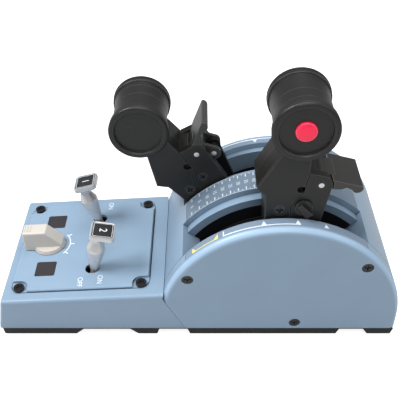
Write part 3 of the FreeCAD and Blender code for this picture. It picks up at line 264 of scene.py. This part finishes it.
BLUE = srgb(130, 153, 175)
EDGE_HIGHLIGHT_BLUE = scaled(BLUE, EDGE_HIGHLIGHT_LIFT)
PAINT = {"grain": 1500.0, "grain_depth": 0.00002, "spread": 0.02}
# In the finishes below, edge colours are painted highlights (dark on the arm screws: a painted shadow ring),
# fillet_highlight is a painted highlight, and seam, hollow_shade and shade_y are painted shade.
MAT = {
    "blue": grained("housing_blue", BLUE, 0.36, **PAINT, strength=0.25, edge=EDGE_HIGHLIGHT_BLUE, seam=0.0009, hollow_shade=0.5),
    # cheeks: the paler rounded-edge colour is a painted highlight
    "cheek": grained("cheek_blue", BLUE, 0.36, **PAINT, strength=0.25, edge=EDGE_HIGHLIGHT_BLUE,
                     fillet_highlight=scaled(BLUE, 1.46), seam=0.0009),
    "strip": grained("scale_blue", srgb(104, 121, 138), 0.4, **PAINT, strength=0.2),
    "strip_side": grained("band_blue", srgb(120, 138, 158), 0.4, **PAINT, strength=0.2),
    # plate: shade_y is painted shade on its forward-facing side wall
    "plate": grained("panel_blue", scaled(BLUE, 1.03), 0.4, **PAINT, strength=0.25, edge=EDGE_HIGHLIGHT_BLUE,
                     shade_y=scaled(BLUE, 0.12), seam=0.002),
    "arm": grained("arm_black", srgb(25, 25, 24), 0.4, grain=2400.0, spread=0.08, strength=0.5, specular=0.4,
                   edge=srgb(70, 70, 69), edge_reach=0.0007, seam=0.0015),
    # reverser: its black is paler than the arm's to stand in for the light on its top; its edge colour is a painted
    # highlight
    "slab": grained("lever_black", srgb(48, 48, 47), 0.4, grain=2400.0, spread=0.08, strength=0.5, specular=0.5,
                    edge=srgb(88, 88, 87), edge_reach=0.0007),
    "grip": grained("grip_black", srgb(28, 28, 28), 0.4, grain=2600.0, grain_depth=0.00004, spread=0.08, strength=0.6,
                    specular=0.4, edge=srgb(62, 62, 62), edge_reach=0.0005),
    "black": grained("shroud_black", srgb(14, 14, 17), 0.6, grain=1600.0, spread=0.08, specular=0.2),
    "base": grained("base_black", srgb(28, 28, 29), 0.6, grain=1400.0, spread=0.08, specular=0.4),
    "rubber": grained("foot_rubber", srgb(28, 28, 28), 0.85, grain=900.0, grain_depth=0.00006, spread=0.1,
                      strength=0.8),
    "screw": grained("screw_black", srgb(20, 20, 21), 0.3, grain=1200.0, spread=0.1, strength=0.2,
                     edge=srgb(54, 54, 55), seam=0.0025),
    # arm screws: the near-black edge colour is a painted shadow ring round the head, and the seam darkening is
    # painted shade in the cross
    "screw_arm": grained("screw_grey", srgb(52, 52, 53), 0.3, grain=1200.0, spread=0.1, strength=0.2,
                         edge=srgb(6, 6, 6), edge_reach=0.0007, seam=0.0025),
    "cream": grained("knob_cream", srgb(194, 189, 182), 0.4, grain=1200.0, spread=0.015, strength=0.2),
    "red": grained("button_red", srgb(255, 32, 78), 0.22, grain=1400.0, spread=0.03, strength=0.1,
                   edge=srgb(255, 96, 128), edge_reach=0.0009),
    "window": grained("window_smoked", srgb(50, 48, 50), 0.3, grain=500.0, spread=0.06, strength=0.05),
    "steel": brushed("steel_pin", srgb(214, 214, 214), 0.3, stretch=(1.0, 12.0, 12.0), metallic=0.35),
    "toggle": brushed("toggle_satin", srgb(206, 206, 207), 0.27, stretch=(1.0, 1.0, 9.0), metallic=0.55),
    "brass": brushed("bush_brass", srgb(196, 160, 96), 0.35, stretch=(1.0, 8.0, 8.0)),
    "washer": grained("washer_nylon", srgb(226, 224, 216), 0.55, grain=900.0, spread=0.03),
    "print_white": grained("print_white", srgb(222, 230, 238), 0.5, grain=900.0, spread=0.03, strength=0.1),
    "print_soft": grained("print_soft", srgb(196, 206, 216), 0.5, grain=900.0, spread=0.04, strength=0.1),
    "print_yellow": grained("print_yellow", srgb(222, 212, 128), 0.5, grain=900.0, spread=0.03, strength=0.1),
    "legend": grained("legend_black", srgb(38, 38, 40), 0.35, grain=900.0, spread=0.06, strength=0.1),
    "board": grained("board_green", srgb(38, 92, 58), 0.4, grain=700.0, spread=0.15, strength=0.2),
}

FINISH = {
    "blue": ["main_housing", "panel_housing"],
    "cheek": ["cheek_right", "cheek_left"],
    "strip": ["scale_strip_mid"],
    "strip_side": ["scale_strips_side"],
    "plate": ["panel_plate"],
    "base": ["base_plate"],
    "rubber": ["foot_pads"],
    "screw": ["base_screws", "cheek_screws", "panel_screws"],
    "black": ["slot_trough_right", "slot_trough_left", "toggle_bodies", "selector_body", "lever_chassis"],
    "window": ["indicator_windows"],
    "board": ["panel_board", "main_board", "sensor_boards"],
    "toggle": ["toggle_one", "toggle_two"],
    "cream": ["mode_knob"],
    "steel": ["usb_socket", "pivot_shaft"],
    "washer": ["friction_washers"],
}
LEVER_FINISH = {
    "arm": ["arm_shell_outer", "arm_shell_inner", "hinge_brackets", "lock_knob"],
    "slab": ["reverser"],
    "grip": ["grip_waist", "grip_cap_outer", "grip_cap_inner"],
    "black": ["lever_core", "link_rod", "reverser_pins", "hinge_pin"],
    "screw_arm": ["arm_screws"],
    "steel": ["sensor_magnet"],
    "brass": ["hub_bush"],
    "red": ["grip_button"],
}
for side in ("right", "left"):
    for key, names in LEVER_FINISH.items():
        FINISH.setdefault(key, []).extend(name + "_" + side for name in names)


def dress(obj, mat):
    obj.data.materials.clear()
    obj.data.materials.append(mat)


for key, names in FINISH.items():
    for name in names:
        dress(nodes[name], MAT[key])


# ------------------------------------------------------------------ building pieces
def piece(name, bm, mat, body):
    """Turn a finished bmesh into an object that rides a body."""
    mesh = bpy.data.meshes.new(name)
    bm.to_mesh(mesh)
    bm.free()
    mesh.materials.append(mat)
    obj = bpy.data.objects.new(name, mesh)
    bpy.context.scene.collection.objects.link(obj)
    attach(obj, body)
    return obj


def joined(bm, one, two, smooth=False):
    """Quads between two closed loops of vertices."""
    for i in range(len(one)):
        k = (i + 1) % len(one)
        bm.faces.new((one[i], one[k], two[k], two[i])).smooth = smooth


def drum(x, arc, h):
    """Point on the drum: across, along the arc from the top (forward positive), off the surface."""
    r = DRUM_R + h
    angle = arc / DRUM_R
    return Vector((x, PIVOT_Y + r * sin(angle), PIVOT_Z + r * cos(angle))) * MM


def panel(x, s, h):
    """Point on the switch plate: across, up the slope from its middle, off its surface."""
    h += SWITCH_PROUD
    y = SWITCH_Y + s * cos(SWITCH_TILT) - h * sin(SWITCH_TILT)
    z = SWITCH_Z + s * sin(SWITCH_TILT) + h * cos(SWITCH_TILT)
    return Vector((x, y, z)) * MM


def bar(x0, x1, y0, y1, step=1.6):
    """Rectangle cut into short lengths along y, so that it can follow the drum."""
    count = max(1, int((y1 - y0) / step))
    cuts = [y0 + (y1 - y0) * i / count for i in range(count + 1)]
    return [[(x0, a), (x1, a), (x1, b), (x0, b)] for a, b in zip(cuts, cuts[1:])]


def flat_text(words, size, x, y):
    """Polygons of a line of text, centred on (x, y), reading towards +x with its top to +y."""
    curve = bpy.data.curves.new("words", "FONT")
    curve.body = words
    curve.size = size
    curve.align_x = "CENTER"
    curve.align_y = "CENTER"
    curve.resolution_u = 4
    curve.fill_mode = "FRONT"
    obj = bpy.data.objects.new("words", curve)
    bpy.context.scene.collection.objects.link(obj)
    bpy.context.view_layer.update()
    mesh = obj.to_mesh()
    at = [(v.co.x + x, v.co.y + y) for v in mesh.vertices]
    found = [[at[i] for i in polygon.vertices] for polygon in mesh.polygons]
    obj.to_mesh_clear()
    bpy.data.objects.remove(obj)
    bpy.data.curves.remove(curve)
    return found


def printed(name, polygons, place, mat, body="housing", top=INK, sink=INK_SINK):
    """Thin raised print: flat polygons given a thickness and laid on a surface."""
    bm = bmesh.new()
    for polygon in polygons:
        bm.faces.new([bm.verts.new((px, py, -sink)) for px, py in polygon])
    bmesh.ops.remove_doubles(bm, verts=bm.verts, dist=0.0005)
    bmesh.ops.recalc_face_normals(bm, faces=bm.faces)
    grown = bmesh.ops.extrude_face_region(bm, geom=bm.faces[:], use_keep_orig=True)
    lifted = [v for v in grown["geom"] if isinstance(v, bmesh.types.BMVert)]
    bmesh.ops.translate(bm, verts=lifted, vec=(0, 0, top + sink))
    bmesh.ops.recalc_face_normals(bm, faces=bm.faces)
    for v in bm.verts:
        v.co = place(*v.co)
    return piece(name, bm, mat, body)


def arc_at(degrees_forward):
    return radians(degrees_forward) * DRUM_R


def mirrored(polygons, side):
    return [[(side * px, py) for px, py in polygon] for polygon in polygons]


# ------------------------------------------------------------------ printed marks
# Detent marks beside the slots: a line along the arc with pointers towards the slot.
LINE_X = CHEEK_X + 4.6
LINE_W = 0.75
POINTER_H = 3.3
POINTER_HALF = 1.5
WHITE_SPAN = (-29.0, 6.1)                       # degrees forward of the drum's top
WHITE_POINTERS = (-10.0, 5.0, 18.0)
YELLOW_SPAN = (-46.0, -31.5)
YELLOW_POINTERS = ((-45.2, -1.2), (-32.6, 1.2))     # place, and lean of the tip in millimetres


def pointer(angle, lean=0.0):
    a = arc_at(angle)
    return [(LINE_X, a - POINTER_HALF), (LINE_X, a + POINTER_HALF), (LINE_X - POINTER_H, a + lean)]


white_marks = bar(LINE_X, LINE_X + LINE_W, *map(arc_at, WHITE_SPAN))
white_marks += bar(LINE_X - POINTER_H, LINE_X, arc_at(WHITE_SPAN[0]), arc_at(WHITE_SPAN[0]) + LINE_W)
white_marks += [pointer(angle) for angle in WHITE_POINTERS]
yellow_marks = bar(LINE_X, LINE_X + LINE_W, *map(arc_at, YELLOW_SPAN))
yellow_marks += [pointer(angle, lean) for angle, lean in YELLOW_POINTERS]
for word, side in (("right", 1), ("left", -1)):
    printed("marks_white_" + word, mirrored(white_marks, side), drum, MAT["print_white"])
    printed("marks_yellow_" + word, mirrored(yellow_marks, side), drum, MAT["print_yellow"])

# Middle scale: rows evenly spaced along Y, each with a stroke at both edges and a number between,
# a short stroke halfway to the next row, and a thin line along each edge.
SCALE_Y0 = -54.1            # first row, forward of the lever axis
SCALE_PITCH = 4.75
SCALE_ROWS = 14
SCALE_STEP = 5              # between the numbers of two rows
SCALE_TEXT = 3.5
SCALE_SPAN = (-48.6, 10.0)  # degrees forward of the drum's top
EDGE_LINE_X = 8.1
EDGE_LINE_W = 0.28
STROKE_X = (4.9, 7.5)
STROKE_HALF = 0.36
SHORT_X = 6.6
SHORT_HALF = 0.14


def row_arc(row):
    return asin((SCALE_Y0 + row * SCALE_PITCH) / DRUM_R) * DRUM_R


scale = []
for edge in (-1, 1):
    scale += mirrored(bar(EDGE_LINE_X, EDGE_LINE_X + EDGE_LINE_W, *map(arc_at, SCALE_SPAN)), edge)
for row in range(SCALE_ROWS):
    full, half = row_arc(row), row_arc(row + 0.5)
    for edge in (-1, 1):
        scale += mirrored(bar(*STROKE_X, full - STROKE_HALF, full + STROKE_HALF), edge)
        scale += mirrored(bar(SHORT_X, EDGE_LINE_X, half - SHORT_HALF, half + SHORT_HALF), edge)
    scale += flat_text(str(row * SCALE_STEP), SCALE_TEXT, 0.0, full)
printed("middle_scale", scale, drum, MAT["print_soft"])

# Switch plate: travel arc ahead of the knob's nose and the switches' words.
KNOB_S = -24.8              # the knob's axis, up the slope from the plate's middle
TURN_R = 13.2
TURN = 42                   # half the arc, degrees
TURN_STEP = 6
TURN_W = 0.55
TICKS = (-35, 0, 35)        # the knob's three places
TICK_HALF = 0.35
TICK_REACH = (0.5, 3.0)
WORD_X = (34.2, -37.2)
WORD_SIZE = 4.7
ON_S = 12.0
OFF_S = -0.4
OFF_SHIFT = 1.5
turn_marks = []
for a in range(-TURN, TURN, TURN_STEP):
    b = a + TURN_STEP
    corners = ((a, TURN_R), (b, TURN_R), (b, TURN_R + TURN_W), (a, TURN_R + TURN_W))
    turn_marks.append([(r * sin(radians(d)), KNOB_S + r * cos(radians(d))) for d, r in corners])
for d in TICKS:
    along = Vector((sin(radians(d)), cos(radians(d))))
    across = Vector((along.y, -along.x)) * TICK_HALF
    inner, outer = (Vector((0, KNOB_S)) + along * (TURN_R + reach) for reach in TICK_REACH)
    turn_marks.append([tuple(inner - across), tuple(inner + across), tuple(outer + across), tuple(outer - across)])
printed("selector_arc", turn_marks, panel, MAT["print_white"])
words = []
for x in WORD_X:
    words += flat_text("ON", WORD_SIZE, x, ON_S)
    words += flat_text("OFF", WORD_SIZE, x + OFF_SHIFT, OFF_S)
printed("switch_words", words, panel, MAT["print_white"])


# Toggle caps: black legend plate with a light frame line and a plain number, in a bevelled frame.
TOGGLE_X = 24.0
TOGGLE_S = 6.2
TOGGLE_PIVOT_H = -4.2       # above the plate's surface
TOGGLE_LEAN = 12.4          # degrees towards the pilot at rest, switch one
CAP_HEIGHT = 39.0           # of the cap's face above the pivot
CAP_SHIFT = 3.2
CAP_PLATE = (6.35, 1.5)     # half width and corner radius
CAP_LINE = ((5.85, 1.2), (5.6, 1.0))
CAP_LEVELS = (              # half width, corner radius and height of the frame's section
    (6.2, 0.9, -3.2), (7.0, 1.9, -3.2), (7.5, 2.4, -2.7), (7.5, 2.4, -0.5), (7.15, 2.1, 0.3),
    (6.6, 1.7, 0.3), (6.35, 1.5, 0.05), (6.35, 1.5, -1.0))
DIGIT_SIZE = 6.6
PLATE_TOP = 0.12
DIGIT_TOP = 0.18


def rounded_square(half, corner, steps=5):
    points = []
    for cx, cy, start in ((1, 1, 0), (-1, 1, 90), (-1, -1, 180), (1, -1, 270)):
        for i in range(steps + 1):
            a = radians(start + 90 * i / steps)
            points.append((cx * (half - corner) + corner * cos(a), cy * (half - corner) + corner * sin(a)))
    return points


def ring(outer, inner):
    count = len(outer)
    return [[outer[i], outer[(i + 1) % count], inner[(i + 1) % count], inner[i]] for i in range(count)]


def cap_frame(name, place, body):
    """Bevelled square frame round a toggle's cap, a little larger than the cap."""
    bm = bmesh.new()
    rows = [[bm.verts.new(place(px, py, h)) for px, py in rounded_square(half, corner)]
            for half, corner, h in CAP_LEVELS]
    for one, two in zip(rows, rows[1:] + rows[:1]):
        joined(bm, one, two)
    bmesh.ops.recalc_face_normals(bm, faces=bm.faces)
    piece(name, bm, MAT["toggle"], body)


for name, body, side, lean, digit in (("one", "toggle_one_lever", -1, TOGGLE_LEAN, "1"),
                                      ("two", "toggle_two_lever", 1, -TOGGLE_LEAN, "2")):
    tilt = radians(lean)

    def on_cap(x, y, h, side=side, tilt=tilt):
        y += CAP_SHIFT
        z = CAP_HEIGHT + h
        s = TOGGLE_S + y * cos(tilt) - z * sin(tilt)
        up = TOGGLE_PIVOT_H + y * sin(tilt) + z * cos(tilt)
        return panel(side * TOGGLE_X + x, s, up - SWITCH_PROUD)

    printed("cap_plate_" + name, [rounded_square(*CAP_PLATE)], on_cap, MAT["legend"], body, top=PLATE_TOP)
    number = ring(*(rounded_square(*line) for line in CAP_LINE)) + flat_text(digit, DIGIT_SIZE, 0.0, 0.0)
    printed("cap_number_" + name, number, on_cap, MAT["print_white"], body, top=DIGIT_TOP)
    cap_frame("cap_frame_" + name, on_cap, body)


# Sleeves between the grips' caps: nearly straight, with the moulding's fine seam grooves.
GRIP = {"right": Vector((22.8, 56.25, 148.8)), "left": Vector((-22.8, -34.51, 118.26))}
SLEEVE_HALF = 13.4
SLEEVE_BORE = 13.0
SLEEVE_R = 16.35
SLEEVE_END_R = 16.95
SLEEVE_ROUND = 0.2
SLEEVE_STEP = 1.2           # between the stations of its gentle curve
SEAMS = (0.6, 9.6)          # along the grip from its middle, outwards
SEAM_HALF = 0.16
SEAM_DEPTH = 0.22
SEAM_CLEAR = 0.5            # no station stands nearer to a seam than this
SHARP = radians(35)         # turned pieces shade smooth below this angle


def sleeve_profile():
    def radius(t):
        return SLEEVE_R + (SLEEVE_END_R - SLEEVE_R) * (t / SLEEVE_HALF) ** 2

    points = []
    count = int(2 * SLEEVE_HALF / SLEEVE_STEP)
    for t in (-SLEEVE_HALF + SLEEVE_STEP * i for i in range(1, count)):
        if all(abs(t - seam) > SEAM_CLEAR for seam in SEAMS):
            points.append((t, radius(t)))
    for seam in SEAMS:
        for step, sink in ((-1.6, 0.0), (-1.0, SEAM_DEPTH), (1.0, SEAM_DEPTH), (1.6, 0.0)):
            t = seam + step * SEAM_HALF
            points.append((t, radius(t) - sink))
    end = [(SLEEVE_HALF - SLEEVE_ROUND, SLEEVE_END_R), (SLEEVE_HALF, SLEEVE_END_R - SLEEVE_ROUND),
           (SLEEVE_HALF, SLEEVE_BORE)]
    start = [(-t, r) for t, r in reversed(end)]
    return start + sorted(points) + end


def turned(name, profile, centre, side, mat, body, count=128):
    """Body of revolution about a line along X: profile points are (out along the line, radius)."""
    bm = bmesh.new()
    rings = []
    for i in range(count):
        a = 2 * pi * i / count
        rings.append([bm.verts.new((centre + Vector((side * t, r * cos(a), r * sin(a)))) * MM) for t, r in profile])
    for one, two in zip(rings, rings[1:] + rings[:1]):
        joined(bm, one, two, smooth=True)
    bmesh.ops.recalc_face_normals(bm, faces=bm.faces)
    obj = piece(name, bm, mat, body)
    obj.data.set_sharp_from_angle(angle=SHARP)
    return obj


def box_end(node, side):
    """Middle of the end of a node's box that looks along X to the given side."""
    low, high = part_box(node)
    middle = (low + high) / 2
    return Vector(((high if side > 0 else low)[0], middle.y, middle.z)) / MM


for word, side in (("right", 1), ("left", -1)):
    sleeve = turned("grip_sleeve_" + word, sleeve_profile(), GRIP[word], side, MAT["grip"], "lever_" + word)
    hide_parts("grip_waist_" + word)

# Bright heads on the ends of the hinge pins and of the reversers' link pins.
HEAD_R = 1.6
HEAD_SINK = 0.8
HEAD_PROFILE = [(-HEAD_SINK, 0.0), (-HEAD_SINK, HEAD_R), (0.02, HEAD_R), (0.1, HEAD_R - 0.15), (0.12, 0.0)]
HEADS = (("hinge_pin_", "hinge_head_", "lever_"), ("reverser_pins_", "link_head_", "reverse_lever_"))
for word in GRIP:
    for node, name, body in HEADS:
        for end, side in (("right", 1), ("left", -1)):
            turned(name + word + "_" + end, HEAD_PROFILE, box_end(node + word, side), side, MAT["steel"],
                   body + word, 32)

# Crowned face on each button.
BUTTON_R = 5.45
BUTTON_RISE = 0.8
CROWN_SINK = 0.6
CROWN_RIM = 0.05
CROWN_STEPS = 10
crown = [(-CROWN_SINK, 0.0), (-CROWN_SINK, BUTTON_R)]
for i in range(CROWN_STEPS, -1, -1):
    share = i / CROWN_STEPS
    crown.append((CROWN_RIM + BUTTON_RISE * (1 - share ** 2), BUTTON_R * share))
for word, side in (("right", 1), ("left", -1)):
    dome = turned("button_crown_" + word, crown, box_end("grip_button_" + word, side), side, MAT["red"],
                  "button_" + word, 64)

# Block between each arm's front and its reverser's barrel.  Its outline is in the lever's own
# axes: forward of the lever axis and up from it.
HINGE = (17.8, 96.3)
THROAT_R = 5.9              # hollow round the barrel
THROAT_X = (15.7, 31.5)
THROAT_OUTLINE = ((10.5, 91.5), (8.4, 91.5), (10.4, 104.2), (13.6, 103.0))
THROAT_ARC = range(110, 201, 10)
LEFT_ANGLE = 41.9           # the left lever rests this far towards the pilot


def throat(name, side, angle, body):
    outline = list(THROAT_OUTLINE)
    outline += [(HINGE[0] + THROAT_R * cos(radians(a)), HINGE[1] + THROAT_R * sin(radians(a))) for a in THROAT_ARC]
    turn = Matrix.Rotation(radians(angle), 2)
    bm = bmesh.new()
    rows = []
    for x in THROAT_X:
        placed = [turn @ Vector(point) for point in outline]
        rows.append([bm.verts.new(Vector((side * x, PIVOT_Y + at.x, PIVOT_Z + at.y)) * MM) for at in placed])
    joined(bm, *rows)
    for row in rows:
        bm.faces.new(row)
    bmesh.ops.recalc_face_normals(bm, faces=bm.faces)
    piece(name, bm, MAT["arm"], body)


throat("arm_throat_right", 1, 0.0, "lever_right")
throat("arm_throat_left", -1, LEFT_ANGLE, "lever_left")

# Grip ridges across the tail of the selector.
KNOB_TOP_H = 14.5
RIDGE_X = 2.6
RIDGE_HALF = 0.3
RIDGE_TOP = 0.35
ridges = []
for s in (-38.4, -36.7, -35.0):
    low, high = s - RIDGE_HALF, s + RIDGE_HALF
    ridges.append([(-RIDGE_X, low), (RIDGE_X, low), (RIDGE_X, high), (-RIDGE_X, high)])
printed("selector_ridges", ridges, lambda x, s, h: panel(x, s, h + KNOB_TOP_H), MAT["cream"], "selector",
        top=RIDGE_TOP)


# ------------------------------------------------------------------ camera, light, floor
CAMERA_PITCH = radians(39.1)
CAMERA_PLACE = (0.3351, 0.0018, 0.3436)
CAMERA_LENS = 62.0
CENTRE = Vector((0, 0, 0.07))
LAMPS = (                   # name, place, size in metres, power in watts
    ("key", (0.05, -0.7, 0.95), (0.5, 0.5), 12.0),
    ("gloss", (0.66, 0.05, 0.93), (0.4, 0.9), 5.0),
    ("rear", (0.25, 0.95, 0.75), (0.4, 0.4), 2.0),
    ("top", (-0.25, 0.15, 1.2), (0.9, 0.9), 6.5),
)
WHITE = (1, 1, 1, 1)
FLOOR_PALE = (0.6, 0.6, 0.6, 1)
FLOOR_GLOW = 0.8
FLOOR_HALF = 3.0
FLOOR_DROP = 0.0002         # just under the feet
FILL = 0.27                 # light from all round


def camera():
    data = bpy.data.cameras.new("camera")
    data.sensor_width = 36.0
    data.lens = CAMERA_LENS
    cam = bpy.data.objects.new("camera", data)
    cam.location = CAMERA_PLACE
    right = Vector((0, 1, 0))
    up = Vector((-sin(CAMERA_PITCH), 0, cos(CAMERA_PITCH)))
    back = right.cross(up)
    cam.rotation_euler = Matrix((right, up, back)).transposed().to_euler()
    bpy.context.scene.collection.objects.link(cam)
    bpy.context.scene.camera = cam


def lamp(name, place, size, power):
    data = bpy.data.lights.new(name, "AREA")
    data.shape = "RECTANGLE"
    data.size = size[0]
    data.size_y = size[1]
    data.energy = power
    obj = bpy.data.objects.new(name, data)
    obj.location = place
    bpy.context.scene.collection.objects.link(obj)
    obj.rotation_euler = (CENTRE - obj.location).to_track_quat("-Z", "Y").to_euler()


def white_to_camera(colour):
    """Pale surface that the camera sees as plain white."""
    mat = bpy.data.materials.new("floor_white")
    mat.use_nodes = True
    tree = mat.node_tree
    bsdf = tree.nodes["Principled BSDF"]
    bsdf.inputs["Base Color"].default_value = colour
    bsdf.inputs["Roughness"].default_value = 0.9
    bsdf.inputs["Specular IOR Level"].default_value = 0.1
    bsdf.inputs["Emission Color"].default_value = WHITE
    path = tree.nodes.new("ShaderNodeLightPath")
    glow = tree.nodes.new("ShaderNodeMath")
    glow.operation = "MULTIPLY"
    glow.inputs[1].default_value = FLOOR_GLOW
    tree.links.new(path.outputs["Is Camera Ray"], glow.inputs[0])
    tree.links.new(glow.outputs["Value"], bsdf.inputs["Emission Strength"])
    return mat


def floor():
    mesh = bpy.data.meshes.new("floor")
    corners = [(x * FLOOR_HALF, y * FLOOR_HALF, 0) for x, y in ((-1, -1), (1, -1), (1, 1), (-1, 1))]
    mesh.from_pydata(corners, [], [(0, 1, 2, 3)])
    obj = bpy.data.objects.new("floor", mesh)
    obj.location.z = -FLOOR_DROP
    bpy.context.scene.collection.objects.link(obj)
    mesh.materials.append(white_to_camera(FLOOR_PALE))


def world():
    """Even light from all round, which the camera sees as white."""
    scene = bpy.context.scene
    scene.world = bpy.data.worlds.new("studio")
    scene.world.use_nodes = True
    tree = scene.world.node_tree
    back = tree.nodes["Background"]
    back.inputs["Color"].default_value = WHITE
    back.inputs["Strength"].default_value = FILL
    bright = tree.nodes.new("ShaderNodeBackground")
    bright.inputs["Color"].default_value = WHITE
    bright.inputs["Strength"].default_value = 1.0
    path = tree.nodes.new("ShaderNodeLightPath")
    mix = tree.nodes.new("ShaderNodeMixShader")
    seen = tree.nodes.new("ShaderNodeMath")
    seen.operation = "MAXIMUM"
    tree.links.new(path.outputs["Is Camera Ray"], seen.inputs[0])
    tree.links.new(path.outputs["Is Transmission Ray"], seen.inputs[1])
    tree.links.new(seen.outputs["Value"], mix.inputs["Fac"])
    tree.links.new(back.outputs["Background"], mix.inputs[1])
    tree.links.new(bright.outputs["Background"], mix.inputs[2])
    tree.links.new(mix.outputs["Shader"], tree.nodes["World Output"].inputs["Surface"])


camera()
world()
floor()
for name, place, size, power in LAMPS:
    lamp(name, place, size, power)
bpy.context.scene.view_settings.view_transform = "Standard"
